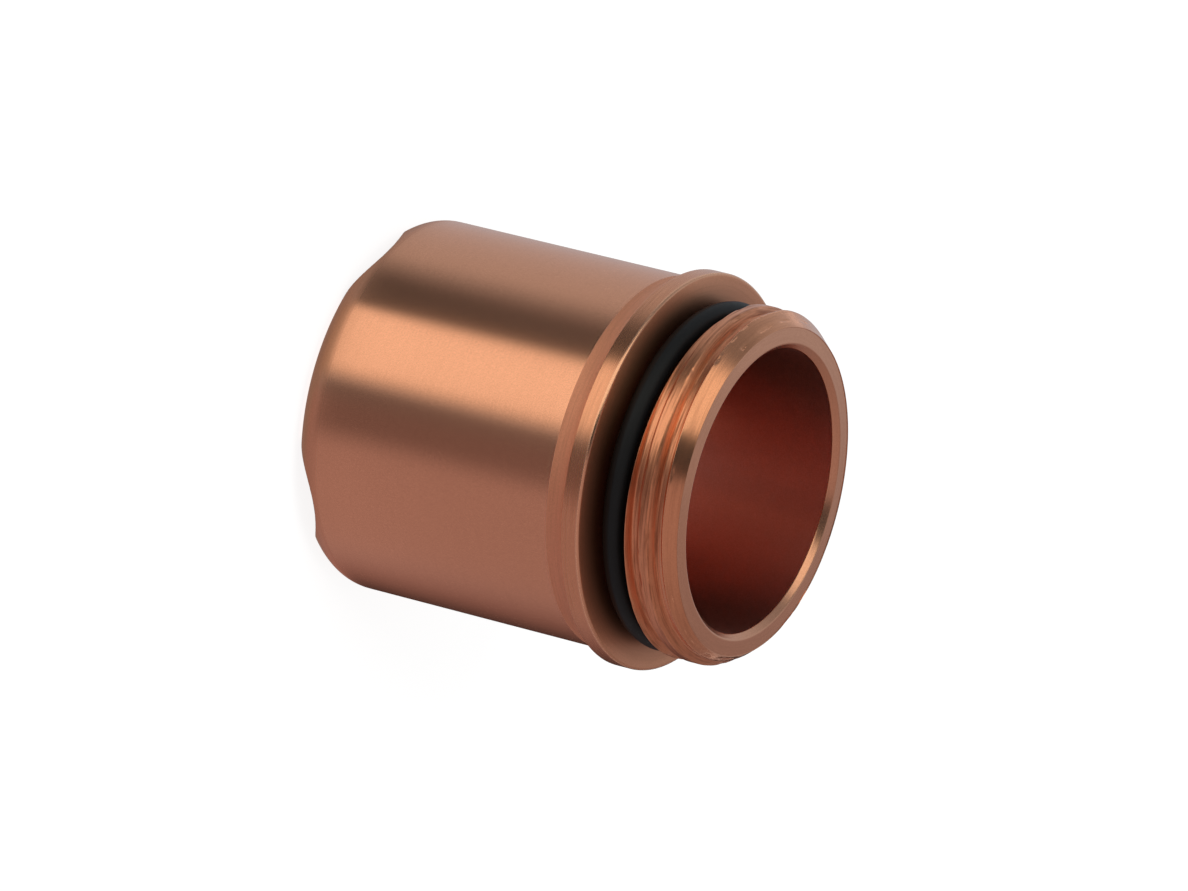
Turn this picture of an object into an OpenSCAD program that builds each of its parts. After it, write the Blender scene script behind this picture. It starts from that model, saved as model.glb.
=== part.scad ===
// Drag shield for a plasma cutting torch: one turned copper body with a
// notched drag crown at the bottom, a flange, an O-ring groove and a short
// male thread at the top. The axis is +Z and the crown stands on z = 0.

/* [Body] */
// Overall length, crown face to threaded end face
overall_len = 24.0; // [21:0.1:32]
// Diameter of the plain cylindrical body
body_d = 21.0; // [20.2:0.1:21.8]
// Radius of the rounded front corner
front_corner_r = 1.65; // [0.8:0.05:2.4]

/* [Flange] */
// Outer diameter of the flange
flange_d = 22.3; // [22:0.1:24]
// Width of the flange's outer land
flange_w = 1.05; // [0.7:0.05:2]
// Radius of the concave cove between the body and the flange
cove_r = 1.75; // [1.3:0.05:2.5]
// Round on the flange's upper edge
flange_edge_r = 0.15; // [0.05:0.01:0.3]

/* [Thread] */
// Major diameter of the male thread, kept as a plain cylinder here
thread_d = 19.92; // [19.5:0.02:20.3]
// Length from the end face to the O-ring groove
thread_len = 2.95; // [2:0.05:4]
// Edge break where the thread meets the groove
thread_edge = 0.12; // [0.05:0.01:0.3]
// Outer diameter of the flat ring on the end face
end_ring_d = 18.3; // [17.6:0.05:19]
// Length of the wide chamfer around the end face
end_chamfer_len = 0.52; // [0.3:0.02:1]

/* [O-ring] */
// Width of the groove, thread wall to flange face
groove_w = 2.12; // [1.8:0.02:3]
// Diameter of the groove floor
groove_floor_d = 17.0; // [16.8:0.05:17.4]
// Section diameter of the O-ring
ring_section = 1.25; // [1:0.05:1.6]
// Clearance between the O-ring and the groove floor it lies on
ring_gap = 0.05; // [0.02:0.01:0.1]

/* [Bore] */
// Diameter of the main bore
bore_d = 15.94; // [14.8:0.02:16.2]
// Depth of the straight bore from the end face
bore_depth = 16.0; // [10:0.1:17]
// Width of the chamfer at the bore's mouth
mouth_chamfer = 0.2; // [0.1:0.05:0.5]
// Angle of the conical seat to the shield's axis
seat_angle = 45; // [42:1:60]
// Diameter of the front orifice
orifice_d = 6.0; // [4:0.1:7]
// Chamfer on the orifice's front edge
orifice_chamfer = 0.3; // [0.1:0.05:0.5]

/* [Crown] */
// Number of radial notches
notch_count = 4; // [3:1:6]
// Depth of each notch below the crown face
notch_depth = 1.35; // [0.8:0.05:1.8]
// Radius of each scalloped notch
notch_r = 4.8; // [3:0.1:6]
// Diameter of the recess inside the crown
recess_d = 12.0; // [10:0.1:14]
// Depth of the recess inside the crown
recess_depth = 1.6; // [0.5:0.05:1.8]
// Edge break on the crown's inner edge
recess_edge = 0.1; // [0.05:0.01:0.2]

/* [Hidden] */
$fn = 96;
// Small overlap that lets cuts pass through the face they start from
past = 0.5;

// Radii of the turned section
body_r = body_d / 2;
flange_r = flange_d / 2;
thread_r = thread_d / 2;
end_ring_r = end_ring_d / 2;
groove_floor_r = groove_floor_d / 2;
bore_r = bore_d / 2;
orifice_r = orifice_d / 2;
recess_r = recess_d / 2;

// Heights along the axis, counted up from the crown face
groove_top_z = overall_len - thread_len;
flange_top_z = groove_top_z - groove_w;
land_bottom_z = flange_top_z - flange_w;
cove_rise = sqrt(pow(cove_r, 2) - pow(cove_r - (flange_r - body_r), 2));
cove_start_z = land_bottom_z - cove_rise;
bore_floor_z = overall_len - bore_depth;
seat_rise = (bore_r - orifice_r) / tan(seat_angle);
seat_bottom_z = bore_floor_z - seat_rise;

// The O-ring lies on the groove floor, midway between the groove's walls
ring_r = ring_section / 2;
ring_centre_r = groove_floor_r + ring_gap + ring_r;
ring_z = flange_top_z + groove_w / 2;

// Sharp tip of an outer corner at p, which a round of radius r takes away.
// side is the way the corner points, [1, 1] for outwards and up.
module corner_tip(p, r, side) {
    translate([p[0] - side[0] * r, p[1] - side[1] * r])
        difference() {
            translate([side[0] > 0 ? 0 : -r - past, side[1] > 0 ? 0 : -r - past])
                square(r + past);
            circle(r);
        }
}

// Half section of the solid shield before the bore, r across and z up
module outer_section() {
    difference() {
        union() {
            square([body_r, flange_top_z]);
            translate([0, cove_start_z])
                square([flange_r, flange_top_z - cove_start_z]);
            square([groove_floor_r, overall_len]);
            polygon([
                [0, groove_top_z],
                [thread_r - thread_edge, groove_top_z],
                [thread_r, groove_top_z + thread_edge],
                [thread_r, overall_len - end_chamfer_len],
                [end_ring_r, overall_len],
                [0, overall_len]
            ]);
        }
        // Concave cove, tangent to the body
        translate([body_r + cove_r, cove_start_z])
            circle(cove_r);
        corner_tip([body_r, 0], front_corner_r, [1, -1]);
        corner_tip([flange_r, flange_top_z], flange_edge_r, [1, 1]);
    }
}

// Half section of the hollow: mouth, bore, conical seat, orifice and recess
module inner_section() {
    polygon([
        [0, overall_len + past],
        [bore_r + mouth_chamfer + past, overall_len + past],
        [bore_r + mouth_chamfer, overall_len],
        [bore_r, overall_len - mouth_chamfer],
        [bore_r, bore_floor_z],
        [orifice_r, seat_bottom_z],
        [orifice_r, recess_depth + orifice_chamfer],
        [orifice_r + orifice_chamfer, recess_depth],
        [recess_r, recess_depth],
        [recess_r, recess_edge],
        [recess_r + recess_edge + past, -past],
        [0, -past]
    ]);
}

// One scallop, cut by a round cutter that runs out along a radius
module notch() {
    translate([0, 0, notch_depth - notch_r])
        rotate([0, 90, 0])
            cylinder(r = notch_r, h = body_r + past);
}

module shield_body() {
    color("#b87a5a")
        difference() {
            rotate_extrude()
                difference() {
                    outer_section();
                    inner_section();
                }
            for (i = [0 : notch_count - 1])
                rotate([0, 0, i * 360 / notch_count])
                    notch();
        }
}

module o_ring() {
    color("#1b1c1e")
        translate([0, 0, ring_z])
            rotate_extrude()
                translate([ring_centre_r, 0])
                    circle(ring_r);
}

shield_body();
o_ring();
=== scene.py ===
import math

import bpy
import numpy as np
from mathutils import Matrix, Vector


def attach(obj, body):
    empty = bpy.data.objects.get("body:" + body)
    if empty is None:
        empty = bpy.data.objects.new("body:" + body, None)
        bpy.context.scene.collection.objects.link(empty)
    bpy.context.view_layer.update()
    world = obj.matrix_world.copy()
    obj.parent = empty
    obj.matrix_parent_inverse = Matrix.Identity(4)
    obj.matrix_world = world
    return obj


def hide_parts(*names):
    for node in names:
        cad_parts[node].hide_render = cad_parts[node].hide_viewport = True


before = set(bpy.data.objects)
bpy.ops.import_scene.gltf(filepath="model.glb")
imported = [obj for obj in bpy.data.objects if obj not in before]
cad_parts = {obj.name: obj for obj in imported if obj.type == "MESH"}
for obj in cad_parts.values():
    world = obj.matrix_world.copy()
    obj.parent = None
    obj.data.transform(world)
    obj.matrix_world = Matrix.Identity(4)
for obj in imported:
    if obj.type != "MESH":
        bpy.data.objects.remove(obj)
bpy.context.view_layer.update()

# Camera
# A long lens half a metre away looks down at the threaded end. It is rolled past a right angle,
# so that the shield, which stands on its crown, lies across the picture with the thread to the right.
MM = 0.001
camera_aim = Vector((-0.151, -0.178, 13.080)) * MM
camera_distance = 508.07 * MM
camera_azimuth = math.radians(-40.32)
camera_elevation = math.radians(28.424)
camera_roll = math.radians(-104.003)


def direction(azimuth, elevation):
    """Unit vector at this azimuth round the axis and this elevation above the table."""
    return Vector((
        math.cos(elevation) * math.cos(azimuth),
        math.cos(elevation) * math.sin(azimuth),
        math.sin(elevation),
    ))


toward_camera = direction(camera_azimuth, camera_elevation)
level_right = Vector((-math.sin(camera_azimuth), math.cos(camera_azimuth), 0))
level_up = toward_camera.cross(level_right)
picture_up = level_up * math.cos(camera_roll) + level_right * math.sin(camera_roll)
picture_right = picture_up.cross(toward_camera)
camera_turn = Matrix((picture_right, picture_up, toward_camera)).transposed().to_4x4()
lens = bpy.data.cameras.new("camera")
lens.sensor_width = 36
lens.lens = 279.74
lens.clip_start = 0.01
camera = bpy.data.objects.new("camera", lens)
camera.matrix_world = Matrix.Translation(camera_aim + toward_camera * camera_distance) @ camera_turn
bpy.context.scene.collection.objects.link(camera)
bpy.context.scene.camera = camera

# Shield body
# One piece turned from copper bar: crown, body, cove, flange, O-ring groove, thread and bore.
# The four scallops of the crown are milled across its face afterwards. The thread screws into the
# torch's retaining cap, and the crown slides along the plate that is cut.

# Lengths are millimetres, r from the axis and z up from the crown face. They agree with the packed
# solid but for small rounds on the edges, and for the threaded end, where the solid has a plain
# cylinder, a shorter lead-in, a flat end ring and a smaller chamfer at the bore's mouth.
overall_len = 24.0
body_r = 10.5
front_corner_r = 1.65
crown_edge_r = body_r - front_corner_r
flange_r = 11.15
flange_top_z = 18.93
flange_w = 1.05
cove_r = 1.75
groove_floor_r = 8.5
groove_top_z = 21.05
thread_r = 9.96
thread_depth = 0.5
thread_pitch = 1.5
thread_edge = 0.12
crest_half = 0.28
flank_len = 0.29
end_ring_r = 9.18
end_ring_fall = 0.05
lead_in_len = 0.95
bore_r = 7.97
mouth_chamfer = 0.3
bore_floor_z = 8.0
orifice_r = 3.0
seat_bottom_z = 3.03
orifice_chamfer = 0.3
recess_r = 6.0
recess_depth = 1.6
notch_count = 4
notch_depth = 1.35
notch_r = 4.8
notch_half = math.sqrt(2 * notch_r * notch_depth - notch_depth ** 2)
land_bottom_z = flange_top_z - flange_w
cove_start_z = land_bottom_z - math.sqrt(cove_r ** 2 - (cove_r - flange_r + body_r) ** 2)

# Rounds on the edges and in the corners of the section, and a hair, which is what rows keep
# apart where one line hands over to the next
land_edge_r = 0.04
flange_edge_r = 0.14
groove_corner_r = 0.12
end_edge_r = 0.03
mouth_edge_r = 0.08
seat_top_r = 0.3
seat_foot_r = 0.1
orifice_edge_r = 0.05
recess_corner_r = 0.04
recess_edge_r = 0.1
hair = 0.01

# How far the creases of the thread, and those between the scallops and the crown, are blended
root_blend = 0.10
crest_blend = 0.05
groove_blend = 0.04
notch_blend = 0.12

# Columns of points in a quarter of the way round, and the share of them on each half of a notch
columns_per_notch = 120
notch_share = 0.36
quarter = 2 * math.pi / notch_count


def smooth_max(a, b, reach):
    """The larger of a and b, plus a parabola that rounds the crease where they differ by less than reach."""
    return np.maximum(a, b) + np.maximum(reach - np.abs(a - b), 0) ** 2 / (4 * reach)


def smooth_min(a, b, reach):
    """The smaller of a and b, with the crease between them rounded over the same reach."""
    return -smooth_max(-a, -b, reach)


def rounded(corners, steps=4, hold=0.07):
    """A section line through (r, z, round) corners, as an array of (r, z) points.

    At each inner corner the line leaves for an arc that is tangent to both sides, whose touching
    points lie round * tan(half the turn) from the corner. A further point stands hold away from
    each end of the arc, so that the shading of the flat beside it stays flat."""
    points = [corners[0][:2]]
    for before, corner, after in zip(corners, corners[1:], corners[2:]):
        tip = np.array(corner[:2])
        back = np.array(before[:2]) - tip
        ahead = np.array(after[:2]) - tip
        back_len = np.linalg.norm(back)
        ahead_len = np.linalg.norm(ahead)
        back = back / back_len
        ahead = ahead / ahead_len
        half_turn = (math.pi - math.acos(np.clip(back @ ahead, -1, 1))) / 2
        touch = corner[2] * math.tan(half_turn)
        middle = back + ahead
        centre = tip + middle / np.linalg.norm(middle) * corner[2] / math.cos(half_turn)
        start = tip + back * touch - centre
        end = tip + ahead * touch - centre
        if back_len > touch + 2 * hold:
            points.append(tip + back * (touch + hold))
        for share in np.linspace(0, 1, steps + 1):
            spoke = start * math.sin((1 - share) * 2 * half_turn) + end * math.sin(share * 2 * half_turn)
            points.append(centre + spoke / math.sin(2 * half_turn))
        if ahead_len > touch + 2 * hold:
            points.append(tip + ahead * (touch + hold))
    points.append(corners[-1][:2])
    return np.array(points)


def column_angles(warp_r):
    """Angle of every column at each warp radius, one row per radius.

    Inside a notch the columns run straight along it, at equal steps of the distance t from its
    middle line, so the angle is asin(t / radius). Between notches they are evenly spread."""
    step = np.arange(columns_per_notch) / columns_per_notch
    radius = np.asarray(warp_r, float).reshape(-1, 1)
    edge = np.arcsin(notch_half / radius)
    rising = np.arcsin(np.clip(notch_half * step / notch_share / radius, -1, 1))
    falling = quarter - np.arcsin(np.clip(notch_half * (1 - step) / notch_share / radius, -1, 1))
    across = edge + (step - notch_share) / (1 - 2 * notch_share) * (quarter - 2 * edge)
    local = np.where(step < notch_share, rising, np.where(step > 1 - notch_share, falling, across))
    return np.concatenate([local + k * quarter for k in range(notch_count)], axis=1)


def notch_height(r, angle):
    """Height of the scallop's ceiling: a circle of radius notch_r lying along each notch's middle line."""
    off = (angle + quarter / 2) % quarter - quarter / 2
    t = r * np.sin(off)
    return notch_depth - notch_r + np.sqrt(np.maximum(notch_r ** 2 - t ** 2, 0))


def thread_radius(z, angle):
    """Radius of the thread: crest and root joined by straight flanks, climbing one pitch a turn.

    d is the distance along the axis from the nearest crest's middle, and the chamfer at the end
    and the break at the groove cut into whatever the thread leaves."""
    crest_z = thread_start_z + thread_pitch * angle / (2 * math.pi)
    d = np.abs((z - crest_z + thread_pitch / 2) % thread_pitch - thread_pitch / 2)
    root_r = thread_r - thread_depth
    flank = root_r + (crest_half + flank_len - d) * thread_depth / flank_len
    cut = smooth_min(smooth_max(flank, root_r, root_blend), thread_r, crest_blend)
    chamfer = end_ring_r + (overall_len - z) * (thread_r - end_ring_r) / lead_in_len
    groove_break = thread_r - thread_edge + (z - groove_top_z)
    return smooth_min(smooth_min(cut, chamfer, crest_blend), groove_break, groove_blend)


def free_rows(r, z, angle):
    """Grid of points for rows whose radius or height may change on the way round."""
    r, z, angle = np.broadcast_arrays(r, z, angle)
    return np.stack([r * np.cos(angle), r * np.sin(angle), z], axis=-1)


def turned_rows(line, warp_r):
    """Grid of points for plain turned rows: each (r, z) point of the line goes all the way round."""
    return free_rows(line[:, :1], line[:, 1:], column_angles(np.broadcast_to(warp_r, len(line))))


def linked_grid(name, points, close_rows, close_columns):
    """An object whose mesh joins a grid of points in millimetres with quads.

    Each way that is closed joins the last line of points to the first."""
    rows, columns = points.shape[:2]
    index = np.arange(rows * columns).reshape(rows, columns)
    if close_rows:
        index = np.concatenate([index, index[:1]])
    if close_columns:
        index = np.concatenate([index, index[:, :1]], axis=1)
    quads = np.stack([index[:-1, :-1], index[:-1, 1:], index[1:, 1:], index[1:, :-1]], axis=-1)
    mesh = bpy.data.meshes.new(name)
    mesh.from_pydata((points.reshape(-1, 3) * MM).tolist(), [], quads.reshape(-1, 4).tolist())
    made = bpy.data.objects.new(name, mesh)
    bpy.context.scene.collection.objects.link(made)
    return made


def closed_skin(name, points):
    """A smooth skin from a grid of points, joined to itself both ways round.

    Rows follow the section anticlockwise and columns go round the axis, so every face looks out."""
    skin = linked_grid(name, points, close_rows=True, close_columns=True)
    skin.data.shade_smooth()
    skin.data.update()
    return skin


# Crown: crown face and rounded front corner, with the scallops cut up into them
crown_flat_from = 6.4
crown_line = rounded([(recess_r, recess_depth, 0), (recess_r, 0, recess_edge_r), (crown_edge_r, 0, 0)])
crown_flat = [(r, 0) for r in np.linspace(crown_flat_from, crown_edge_r, 7)]
corner_turn = np.radians(np.linspace(0, 90, 23)[1:])
corner_line = np.stack([
    crown_edge_r + front_corner_r * np.sin(corner_turn),
    front_corner_r - front_corner_r * np.cos(corner_turn),
], axis=1)
crown_line = np.vstack([crown_line[2:-1], crown_flat, corner_line])
crown_r = crown_line[:, :1]
crown_angle = column_angles(crown_r)
crown_z = smooth_max(crown_line[:, 1:], notch_height(crown_r, crown_angle), notch_blend)

# Recess wall: from just below the recess's floor to the crown's first row, whose height the
# scallops change
wall_start_z = recess_depth - 2 * hair
wall_share = np.array([[0.98], [0.9], [0.5], [0.12]])
wall_z = crown_z[:1] + (wall_start_z - crown_z[:1]) * wall_share
crown_z = np.maximum(crown_z, 0)

# Body, cove, flange and groove: plain turned rows, the same all round
body_line = np.array([(body_r, z) for z in (1.75, 2.2, 4.0, 8.0, 12.0, 15.5, 16.3, 16.49)])
cove_turn = np.linspace(math.pi, math.pi + math.asin((land_bottom_z - cove_start_z) / cove_r), 13)
cove_line = np.stack([
    body_r + cove_r + cove_r * np.cos(cove_turn),
    cove_start_z - cove_r * np.sin(cove_turn),
], axis=1)
flange_line = rounded([
    tuple(cove_line[-2]) + (0,),
    (flange_r, land_bottom_z, land_edge_r),
    (flange_r, flange_top_z, flange_edge_r),
    (groove_floor_r, flange_top_z, groove_corner_r),
    (groove_floor_r, groove_top_z, groove_corner_r),
    (thread_r - thread_edge - thread_depth, groove_top_z, 0),
], steps=3)[1:-1]
land_reach = 0.1
on_land = flange_line[:, 0] > flange_r - land_reach
land_line = flange_line[on_land]
face_line = flange_line[~on_land]

# End ring, bore, seat, orifice and recess floor, down through the shield
floor_margin = 0.15
inner_line = rounded([
    (end_ring_r + hair, overall_len - end_ring_fall - hair, 0),
    (end_ring_r - end_edge_r, overall_len - end_ring_fall, end_edge_r),
    (bore_r + mouth_chamfer, overall_len, mouth_edge_r),
    (bore_r, overall_len - mouth_chamfer, mouth_edge_r),
    (bore_r, bore_floor_z, seat_top_r),
    (orifice_r, seat_bottom_z, seat_foot_r),
    (orifice_r, recess_depth + orifice_chamfer, orifice_edge_r),
    (orifice_r + orifice_chamfer, recess_depth, recess_corner_r),
    (recess_r - floor_margin, recess_depth, 0),
], steps=2)
inner_warp = np.interp(inner_line[:, 1], [recess_depth, bore_floor_z], [recess_r, body_r])

# Thread, with its radius worked out for every row and column. Its rows stand closer at both ends.
# Angle 0 is +X. The crest that shows nearest the camera has its middle at crest_seen_z ten degrees
# round from the camera, on the side that the light comes from.
crest_seen_z = 22.11
crest_seen_angle = camera_azimuth - math.radians(10)
thread_start_z = crest_seen_z - thread_pitch * crest_seen_angle / (2 * math.pi)
thread_z = np.concatenate([
    groove_top_z + np.array([0.0, 0.02, 0.045, 0.075]),
    np.linspace(groove_top_z + 0.11, overall_len - 0.05, 80),
    overall_len - np.array([0.03, 0.015]),
]).reshape(-1, 1)
outer_angle = column_angles([body_r])
thread_rows_r = thread_radius(thread_z, outer_angle)

# Nicks: short dents along both edges of the crests, where the thread was chased and handled
random = np.random.default_rng(8)
nick_count = 260
for _ in range(nick_count):
    nick_angle = random.uniform(0, 2 * math.pi)
    turn_number = random.integers(-1, 2)
    edge = random.choice([-1, 1]) * crest_half
    nick_z = thread_start_z + thread_pitch * (nick_angle / (2 * math.pi) + turn_number) + edge
    nick_deep = random.uniform(0.01, 0.07)
    nick_high = random.uniform(0.03, 0.08)
    nick_long = random.uniform(0.08, 0.5)
    around = (outer_angle - nick_angle + math.pi) % (2 * math.pi) - math.pi
    spread = ((thread_z - nick_z) / nick_high) ** 2 + (around * thread_r / nick_long) ** 2
    thread_rows_r = thread_rows_r - nick_deep * np.exp(-spread)

# Groove wall: out along the thread's lower face, up to the thread's first row
groove_wall_from = groove_floor_r + 0.3
groove_wall_share = np.array([[0.3], [0.9], [0.97]])
groove_wall_r = groove_wall_from + (thread_rows_r[:1] - groove_wall_from) * groove_wall_share

# Each zone of the section with its tone and the finish its tool left: how rough it is, how far
# the blur is drawn out along the section, and how deeply use has scored it. The tones of the inner
# flange face and the groove's floor are painted shade, and that of the flange's upper edge is a
# painted highlight
crown_points = free_rows(crown_r, crown_z, crown_angle)
thread_points = free_rows(thread_rows_r, thread_z, outer_angle)
corner_from = len(crown_line) - len(corner_line)
corner_rows_by_body = 4
corner_to = len(crown_line) - corner_rows_by_body
highlight_edge = land_line[:, 1] > flange_top_z - flange_edge_r - hair
face_outer = face_line[:, 0] > 0.5 * (flange_r + groove_floor_r)
shaded_face_inner = ~face_outer & (face_line[:, 1] < flange_top_z + hair)
shaded_groove = ~face_outer & ~shaded_face_inner
lead_in_rows = thread_z[:, 0] > overall_len - lead_in_len
end_rows = inner_line[:, 1] > overall_len - mouth_chamfer - mouth_edge_r
front_rows = inner_line[:, 1] < 0.5 * (seat_bottom_z + recess_depth)
bore_rows = ~end_rows & ~front_rows
zones = [
    (free_rows(recess_r, wall_z, column_angles([recess_r])), "#cf9e84", (0.40, 0.5, 0.2)),
    (crown_points[:corner_from], "#eea981", (0.34, 0.6, 0.12)),
    (crown_points[corner_from:corner_to], "#f0aa85", (0.44, 0.2, 0.1)),
    (crown_points[corner_to:], "#f3ad88", (0.34, 0.5, 0.1)),
    (turned_rows(body_line, body_r), "#f9b28c", (0.26, 0.75, 0.04)),
    (turned_rows(cove_line[:-1], body_r), "#f3b08d", (0.66, 0.0, 0.2)),
    (turned_rows(land_line[~highlight_edge], body_r), "#f2a981", (0.26, 0.75, 0.25)),
    # The flange's upper edge round: a paler tone, a painted highlight
    (turned_rows(land_line[highlight_edge], body_r), "#ffc09a", (0.20, 0.0, 0.1)),
    (turned_rows(face_line[face_outer], body_r), "#fbb78f", (0.38, 0.8, 0.15)),
    # Inner flange face beside the ring and the groove's floor: dark tones, painted shade
    (turned_rows(face_line[shaded_face_inner], body_r), "#84523a", (0.34, 0.75, 0.15)),
    (turned_rows(face_line[shaded_groove], body_r), "#5f3a2b", (0.50, 0.3, 0.3)),
    (free_rows(groove_wall_r, groove_top_z, outer_angle), "#c07a58", (0.40, 0.5, 0.3)),
    (thread_points[~lead_in_rows], "#f3a47a", (0.31, 0.6, 1.0)),
    (thread_points[lead_in_rows], "#f5ab82", (0.20, 0.3, 0.3)),
    (turned_rows(inner_line[end_rows], inner_warp[end_rows]), "#f5b491", (0.25, 0.5, 0.12)),
    (turned_rows(inner_line[bore_rows], inner_warp[bore_rows]), "#f3bdb0", (0.28, 0.45, 0.0)),
    (turned_rows(inner_line[front_rows], inner_warp[front_rows]), "#e5a380", (0.34, 0.5, 0.12)),
]
zone_points = [zone[0] for zone in zones]
shield = closed_skin("shield_skin", np.concatenate(zone_points))


def from_srgb(code):
    """Linear colour with alpha 1 from a six-figure sRGB hex code."""
    parts = [int(code[i:i + 2], 16) / 255 for i in (1, 3, 5)]
    return [c / 12.92 if c <= 0.04045 else ((c + 0.055) / 1.055) ** 2.4 for c in parts] + [1]


# Tone, painted shade and highlight included, and finish are kept on the mesh, a colour for each point
tones = [from_srgb(zone[1]) for zone in zones]
finishes = [zone[2] + (1,) for zone in zones]
for layer_name, values in (("copper_tone_and_painted_light", tones), ("tool_finish", finishes)):
    grids = [np.broadcast_to(value, points.shape[:2] + (4,)) for value, points in zip(values, zone_points)]
    layer = shield.data.attributes.new(layer_name, "FLOAT_COLOR", "POINT")
    layer.data.foreach_set("color", np.concatenate(grids).ravel())


def add_node(tree, kind, inputs=None, **settings):
    """A new node with its settings. inputs gives each socket a value, or the output that feeds it."""
    node = tree.nodes.new(kind)
    for name, value in settings.items():
        setattr(node, name, value)
    for name, value in (inputs or {}).items():
        if isinstance(value, bpy.types.NodeSocket):
            tree.links.new(value, node.inputs[name])
        else:
            node.inputs[name].default_value = value
    return node


def new_material(name):
    """An empty node material, and its node tree."""
    material = bpy.data.materials.new(name)
    material.use_nodes = True
    material.node_tree.nodes.clear()
    return material, material.node_tree


# Copper, fine turned and left bright. The tool leaves rings round the axis, finer than a tenth
# of a millimetre, so reflections stay crisp round the body and smear along it. Use has scored the
# thread most. The zones' tones paint shade onto the inner flange face beside the ring and into the
# groove's floor, paint a highlight along the flange's upper edge, and make the thread's lower face
# darker and the bore paler and pinker than the body.
copper, tree = new_material("turned_copper")
place = add_node(tree, "ShaderNodeTexCoord").outputs["Object"]
tone = add_node(tree, "ShaderNodeAttribute", attribute_name="copper_tone_and_painted_light").outputs["Color"]
finish = add_node(tree, "ShaderNodeAttribute", attribute_name="tool_finish").outputs["Color"]
finish = add_node(tree, "ShaderNodeSeparateColor", {"Color": finish})
scoring = finish.outputs["Blue"]
split = add_node(tree, "ShaderNodeSeparateXYZ", {0: place})
flat = add_node(tree, "ShaderNodeCombineXYZ", {0: split.outputs[0], 1: split.outputs[1]})
radius = add_node(tree, "ShaderNodeVectorMath", {0: flat.outputs[0]}, operation="LENGTH").outputs["Value"]
section = add_node(tree, "ShaderNodeCombineXYZ", {0: radius, 1: split.outputs[2]})
ring_pitch = 0.09 * MM
ring_deep = 0.0015 * MM
rings = add_node(tree, "ShaderNodeTexNoise", {
    "Vector": section.outputs[0],
    "Scale": 1 / ring_pitch,
    "Detail": 2.0,
    "Roughness": 0.6,
})

# Scores: lines round the axis, 0.16 mm apart and about 4 mm long. The direction out from the
# axis, made score_reach long, stands for the way round, so that the pattern has no seam.
score_pitch = 0.16 * MM
score_long = 4.0 * MM
score_deep = 0.018 * MM
score_rough = 0.25
score_reach = score_pitch * thread_r * MM / score_long
outward = add_node(tree, "ShaderNodeVectorMath", {0: flat.outputs[0]}, operation="NORMALIZE")
turned = add_node(tree, "ShaderNodeVectorMath", {
    0: outward.outputs[0],
    "Scale": score_reach,
}, operation="SCALE")
height = add_node(tree, "ShaderNodeCombineXYZ", {2: split.outputs[2]})
score_place = add_node(tree, "ShaderNodeVectorMath", {
    0: turned.outputs[0],
    1: height.outputs[0],
}, operation="ADD")
scores = add_node(tree, "ShaderNodeTexNoise", {
    "Vector": score_place.outputs[0],
    "W": radius,
    "Scale": 1 / score_pitch,
    "Detail": 3.0,
    "Roughness": 0.7,
}, noise_dimensions="4D").outputs["Fac"]

# Clouds are broad, faint changes of tone, where hands and coolant have been. The grain is the
# satin of the cut surface, drawn 0.08 mm wide, which is as coarse as it needs to show.
cloud_size = 3.0 * MM
cloud_strength = 0.10
clouds = add_node(tree, "ShaderNodeTexNoise", {
    "Vector": place,
    "Scale": 1 / cloud_size,
    "Detail": 2.0,
}).outputs["Fac"]
satin_size = 0.08 * MM
satin_strength = 0.30
satin = add_node(tree, "ShaderNodeTexNoise", {
    "Vector": place,
    "Scale": 1 / satin_size,
    "Detail": 1.0,
}).outputs["Fac"]
satin_share = add_node(tree, "ShaderNodeMapRange", {
    "Value": satin,
    "From Min": 0.3,
    "From Max": 0.7,
    "To Max": satin_strength,
})
handled = add_node(tree, "ShaderNodeMath", {
    0: clouds,
    1: cloud_strength,
    2: satin_share.outputs[0],
}, operation="MULTIPLY_ADD")
handled_tone = add_node(tree, "ShaderNodeMix", {
    0: handled.outputs[0],
    6: tone,
    7: from_srgb("#cf8f6c"),
}, data_type="RGBA")
score_dark = add_node(tree, "ShaderNodeMapRange", {
    "Value": scores,
    "From Min": 0.46,
    "From Max": 0.70,
    "To Max": 0.78,
})
score_share = add_node(tree, "ShaderNodeMath", {0: score_dark.outputs[0], 1: scoring}, operation="MULTIPLY")
scored_tone = add_node(tree, "ShaderNodeMix", {
    0: score_share.outputs[0],
    6: handled_tone.outputs[2],
    7: from_srgb("#8d5238"),
}, data_type="RGBA")
rough = add_node(tree, "ShaderNodeMath", {
    0: score_share.outputs[0],
    1: score_rough,
    2: finish.outputs["Red"],
}, operation="MULTIPLY_ADD")
ring_bump = add_node(tree, "ShaderNodeBump", {
    "Height": rings.outputs["Fac"],
    "Strength": 0.5,
    "Distance": ring_deep,
})
score_bump = add_node(tree, "ShaderNodeBump", {
    "Height": scores,
    "Strength": scoring,
    "Distance": score_deep,
    "Normal": ring_bump.outputs["Normal"],
})
around_axis = add_node(tree, "ShaderNodeVectorMath", {0: (0, 0, 1), 1: place}, operation="CROSS_PRODUCT")
along_section = add_node(tree, "ShaderNodeVectorMath", {
    0: add_node(tree, "ShaderNodeNewGeometry").outputs["Normal"],
    1: around_axis.outputs[0],
}, operation="CROSS_PRODUCT")
metal = add_node(tree, "ShaderNodeBsdfPrincipled", {
    "Base Color": scored_tone.outputs[2],
    "Metallic": 1.0,
    "Roughness": rough.outputs[0],
    "Anisotropic": finish.outputs["Green"],
    "Tangent": along_section.outputs[0],
    "Normal": score_bump.outputs["Normal"],
})
add_node(tree, "ShaderNodeOutputMaterial", {"Surface": metal.outputs[0]})
shield.data.materials.append(copper)
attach(shield, "root")
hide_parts("shield_body")

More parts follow.
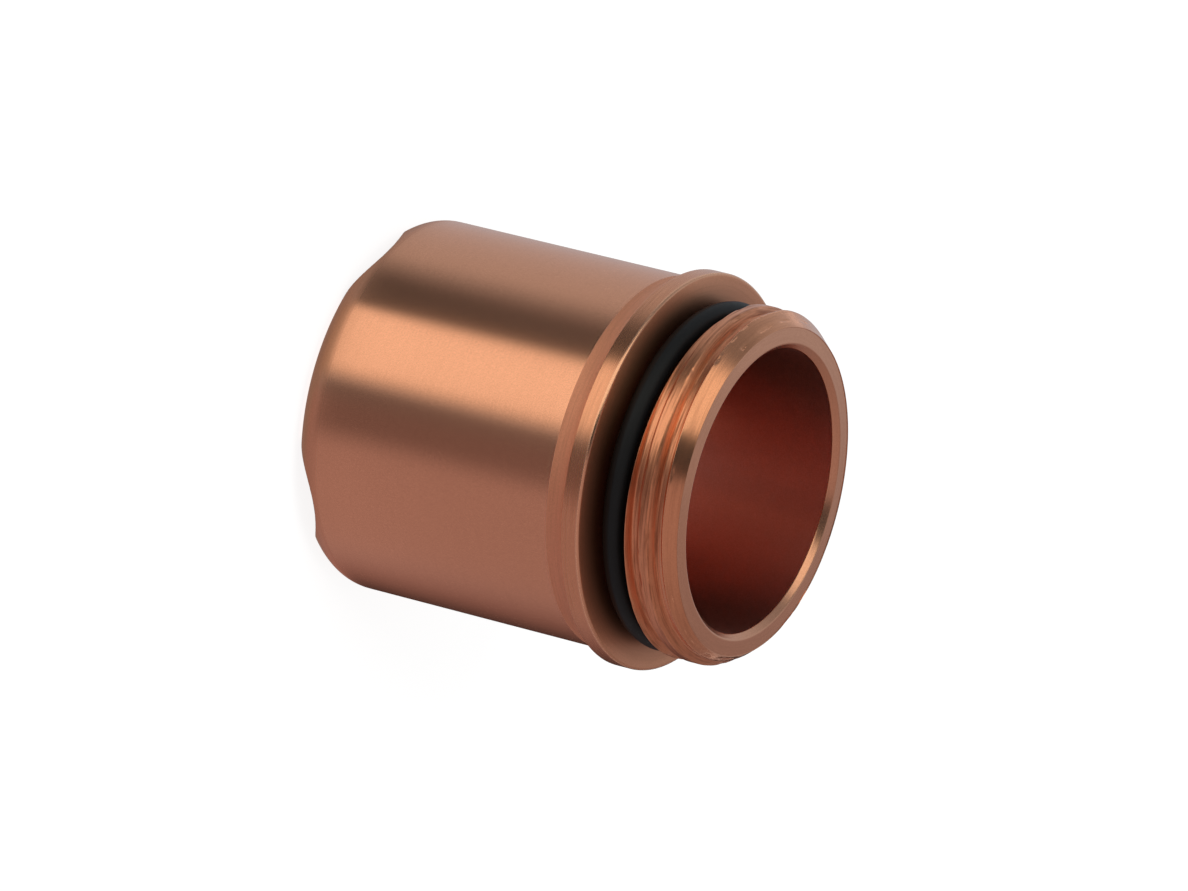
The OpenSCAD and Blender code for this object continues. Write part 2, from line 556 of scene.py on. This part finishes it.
# O-ring
# A moulded nitrile ring of 1.25 mm section, stretched into the groove and lying on its floor.
# The mould's halves meet round its outside, where they leave a hair line of flash.
ring_section_r = 0.625
ring_floor_gap = 0.05
ring_middle_r = groove_floor_r + ring_floor_gap + ring_section_r
ring_middle_z = 0.5 * (flange_top_z + groove_top_z)
flash_height = 0.018
flash_half = math.radians(4)
ring_rows = 64
ring_columns = 320


def ring_points(rows, columns):
    """A torus: the section circle, with a small bell-shaped ridge at its outside, carried round the axis."""
    about = np.linspace(0, 2 * math.pi, rows, endpoint=False).reshape(-1, 1)
    angle = np.linspace(0, 2 * math.pi, columns, endpoint=False)
    wrapped = (about + math.pi) % (2 * math.pi) - math.pi
    section_r = ring_section_r - flash_height + flash_height * np.exp(-(wrapped / flash_half) ** 2)
    r = ring_middle_r + section_r * np.cos(about)
    z = ring_middle_z + section_r * np.sin(about)
    return free_rows(r, z, angle)


ring = closed_skin("o_ring_skin", ring_points(ring_rows, ring_columns))

# Nitrile rubber, moulded in a polished tool and rubbed dull: nearly black, with little sheen
# and a faint cloudiness
rubber, tree = new_material("nitrile_rubber")
place = add_node(tree, "ShaderNodeTexCoord").outputs["Object"]
smear_size = 1.6 * MM
smear = add_node(tree, "ShaderNodeTexNoise", {"Vector": place, "Scale": 1 / smear_size, "Detail": 4.0})
grain_size = 0.05 * MM
grain_deep = 0.003 * MM
grain = add_node(tree, "ShaderNodeTexNoise", {"Vector": place, "Scale": 1 / grain_size, "Detail": 2.0})
rough = add_node(tree, "ShaderNodeMapRange", {"Value": smear.outputs["Fac"], "To Min": 0.42, "To Max": 0.62})
tone = add_node(tree, "ShaderNodeMix", {
    0: smear.outputs["Fac"],
    6: from_srgb("#0b0c0d"),
    7: from_srgb("#141617"),
}, data_type="RGBA")
bump = add_node(tree, "ShaderNodeBump", {
    "Height": grain.outputs["Fac"],
    "Strength": 0.3,
    "Distance": grain_deep,
})
gum = add_node(tree, "ShaderNodeBsdfPrincipled", {
    "Base Color": tone.outputs[2],
    "Roughness": rough.outputs[0],
    "IOR": 1.5,
    "Specular IOR Level": 0.27,
    "Normal": bump.outputs["Normal"],
})
add_node(tree, "ShaderNodeOutputMaterial", {"Surface": gum.outputs[0]})
ring.data.materials.append(rubber)
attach(ring, "root")
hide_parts("o_ring")

# Studio
# A white table and a white surround, with cards that only reflections see. Angles round the
# shield are measured from the camera, and the body mirrors the table at twice its own angle.
facing = camera_azimuth


def rise(x, middle, soft):
    """0 below middle and 1 above it, along an S-shaped ramp soft wide."""
    share = np.clip((x - middle) / soft + 0.5, 0, 1)
    return share * share * (3 - 2 * share)


def window(x, start, end, soft):
    """1 between start and end and 0 outside, with the same ramp at both ends."""
    return rise(x, start, soft) * rise(-x, -end, soft)


def moved(value, goal, share):
    """value, moved by share of the way to goal."""
    return value + (goal - value) * share


def glow_sheet(name, points, colours, closed):
    """A sheet of light: a grid of points in millimetres whose colour at each is how bright it shines.

    A closed sheet goes all the way round the axis."""
    sheet = linked_grid(name, points, close_rows=False, close_columns=closed)
    shine = sheet.data.attributes.new("shine", "FLOAT_COLOR", "POINT")
    alpha = np.ones(colours.shape[:2] + (1,))
    shine.data.foreach_set("color", np.concatenate([colours, alpha], axis=-1).ravel())
    sheet.visible_camera = False
    sheet.visible_diffuse = False
    sheet.visible_shadow = False
    sheet.visible_transmission = False
    material, tree = new_material(name)
    colour = add_node(tree, "ShaderNodeAttribute", attribute_name="shine").outputs["Color"]
    light = add_node(tree, "ShaderNodeEmission", {"Color": colour})
    add_node(tree, "ShaderNodeOutputMaterial", {"Surface": light.outputs[0]})
    sheet.data.materials.append(material)


# Table cards: bright and dark cards that fan out from the body along its own mirror rays. Each
# step in their level is a ramp: the level it leads to, its middle in degrees and its width.
fan_angle = np.radians(np.linspace(-89.5, 89.5, 720))
fan_reach = np.array([0, 0.4, 0.8, 1.2, 1.6, 2.0, 2.5, 3, 4, 6, 10, 20, 40, 80, 160, 320.0]).reshape(-1, 1)
card_height = 0.15
phi = np.degrees(fan_angle)
level_steps = [(0.50, -62, 30), (0.09, -43, 15), (0.165, -9, 14), (0.36, 14.5, 10)]
level = 0.53
for step_level, step_middle, step_soft in level_steps:
    level = moved(level, step_level, rise(phi, step_middle, step_soft))
bright_level = 0.96
level = moved(level, bright_level, rise(phi, -25.8, 4.5) * rise(-phi, 3.7, 9))
end_level = 0.035
level = moved(level, end_level, rise(phi, 68, 36))

# Their tint: cool before the bright card, gold on it, warm beyond it and red at the end
cool = np.array([0.93, 1.0, 1.1])
gold = np.array([1.09, 1.06, 0.98])
warm = np.array([1.03, 0.87, 0.95])
red = np.array([1.15, 0.70, 0.62])
tint = moved(cool, gold, window(phi, -27, -3, 6)[:, None])
tint = moved(tint, warm, rise(phi, 2, 12)[:, None])
tint = moved(tint, red, rise(phi, 66, 24)[:, None])

# Beyond the bright card the cards are a little brighter in their nearer half, and right by the
# body all of them fade to one level
nearer_half = 1.10 - 0.14 * rise(fan_reach, 16, 22)
card_level = level * (1 + (nearer_half - 1) * rise(phi, 20, 30))
near_level = 0.34
near = 1 - rise(fan_reach, 2.2, 2.5)
card_level = card_level * (1 - near) + near_level * near
fan_points = np.stack([
    body_r * np.cos(fan_angle + facing) + fan_reach * np.cos(2 * fan_angle + facing),
    body_r * np.sin(fan_angle + facing) + fan_reach * np.sin(2 * fan_angle + facing),
    np.full(card_level.shape, card_height),
], axis=-1)
glow_sheet("table_cards", fan_points, card_level[..., None] * tint, closed=False)

# Crown shade: the patch of table that the shield stands on and keeps dark
shade_level = 0.30
shade_angle = np.linspace(0, 2 * math.pi, 96, endpoint=False)
shade_r = np.array([0.1, 4.0, 8.0, 9.5, body_r]).reshape(-1, 1)
shade_points = free_rows(shade_r, card_height, shade_angle)
glow_sheet("crown_shade", shade_points, np.full(shade_points.shape, shade_level), closed=True)

# Tent: a dome over the table, grey at the sides, with a softbox at the upper left and a dark
# gap beside it. front is how far a direction points towards the camera, and side how far it
# points to the right of it.
tent_r = 700.0
tent_azimuth = np.linspace(0, 2 * math.pi, 180, endpoint=False)
tent_elevation = np.radians(np.linspace(-2, 90, 93)).reshape(-1, 1)
toward_x = np.cos(tent_elevation) * np.cos(tent_azimuth)
toward_y = np.cos(tent_elevation) * np.sin(tent_azimuth)
toward_z = np.broadcast_to(np.sin(tent_elevation), toward_x.shape)
tent_points = np.stack([toward_x, toward_y, toward_z], axis=-1) * tent_r
front = toward_x * math.cos(facing) + toward_y * math.sin(facing)
side = -toward_x * math.sin(facing) + toward_y * math.cos(facing)
left_side = 0.46 - 0.22 * rise(front, -0.42, 0.7)
right_side = 0.33 + 0.10 * front
gap_level = 0.06
softbox_level = 1.0
dark_gap = window(side, -0.36, 0.06, 0.04) * rise(front, 0.2, 0.2)
softbox = window(side, -0.80, -0.325, 0.05) * rise(front, 0.0, 0.12)
tent_level = moved(left_side, right_side, rise(side, 0, 0.25))
tent_level = moved(tent_level, gap_level, dark_gap)
tent_level = moved(tent_level, softbox_level, softbox)
tent_cool = np.array([0.96, 1.05, 1.16])
tent_warm = np.array([1.06, 0.86, 0.86])
softbox_gold = np.array([1.03, 1.0, 0.88])
tent_tint = moved(tent_cool, tent_warm, rise(side, 0, 0.3)[..., None])
tent_tint = moved(tent_tint, softbox_gold, softbox[..., None])
glow_sheet("tent", tent_points, tent_level[..., None] * tent_tint, closed=True)


def seen_by_eye(tree):
    """1 for the rays that the eye follows: from the camera, off a mirror or through glass."""
    paths = add_node(tree, "ShaderNodeLightPath").outputs
    seen = paths["Is Camera Ray"]
    for ray in ("Is Glossy Ray", "Is Transmission Ray"):
        seen = add_node(tree, "ShaderNodeMath", {0: seen, 1: paths[ray]}, operation="ADD").outputs[0]
    return seen


# Table and surround: white to the camera, with the shield's own shadow on it. The table lies a
# hair below the crown, so that the two never share a plane.
half_table = 2.0
table_z = -0.02 * MM
table_sides = ((-1, -1), (1, -1), (1, 1), (-1, 1))
table_corners = [(x * half_table, y * half_table, table_z) for x, y in table_sides]
table = bpy.data.meshes.new("table")
table.from_pydata(table_corners, [], [(0, 1, 2, 3)])
table_top = bpy.data.objects.new("table", table)
bpy.context.scene.collection.objects.link(table_top)
table_shine = 0.87
white, tree = new_material("white_table")
lift = add_node(tree, "ShaderNodeMath", {0: seen_by_eye(tree), 1: table_shine}, operation="MULTIPLY")
paint = add_node(tree, "ShaderNodeBsdfDiffuse", {"Color": (0.25, 0.25, 0.25, 1)})
glow = add_node(tree, "ShaderNodeEmission", {"Color": (1, 1, 1, 1), "Strength": lift.outputs[0]})
top_side = add_node(tree, "ShaderNodeAddShader", {0: paint.outputs[0], 1: glow.outputs[0]})
clear = add_node(tree, "ShaderNodeBsdfTransparent")
under = add_node(tree, "ShaderNodeNewGeometry").outputs["Backfacing"]
sides = add_node(tree, "ShaderNodeMixShader", {0: under, 1: top_side.outputs[0], 2: clear.outputs[0]})
add_node(tree, "ShaderNodeOutputMaterial", {"Surface": sides.outputs[0]})
table.materials.append(white)

world = bpy.data.worlds.new("surround")
bpy.context.scene.world = world
world.use_nodes = True
tree = world.node_tree
tree.nodes.clear()
strength = add_node(tree, "ShaderNodeMapRange", {"Value": seen_by_eye(tree), "To Min": 0.55, "To Max": 1.0})
sky = add_node(tree, "ShaderNodeBackground", {"Color": (1, 1, 1, 1), "Strength": strength.outputs[0]})
add_node(tree, "ShaderNodeOutputWorld", {"Surface": sky.outputs[0]})

# Key lamp: a soft square above the camera's side, so the shadow falls behind the shield
lamp = bpy.data.lights.new("key", "AREA")
lamp.shape = "SQUARE"
lamp.size = 0.35
lamp.energy = 1.6
key_azimuth = facing - math.radians(35)
key_elevation = math.radians(52)
key_distance = 0.75
key_from = direction(key_azimuth, key_elevation)
key_turn = key_from.to_track_quat("Z", "Y").to_matrix().to_4x4()
key = bpy.data.objects.new("key", lamp)
key.matrix_world = Matrix.Translation(key_from * key_distance) @ key_turn
key.visible_glossy = False
bpy.context.scene.collection.objects.link(key)

bpy.context.scene.view_settings.view_transform = "Standard"
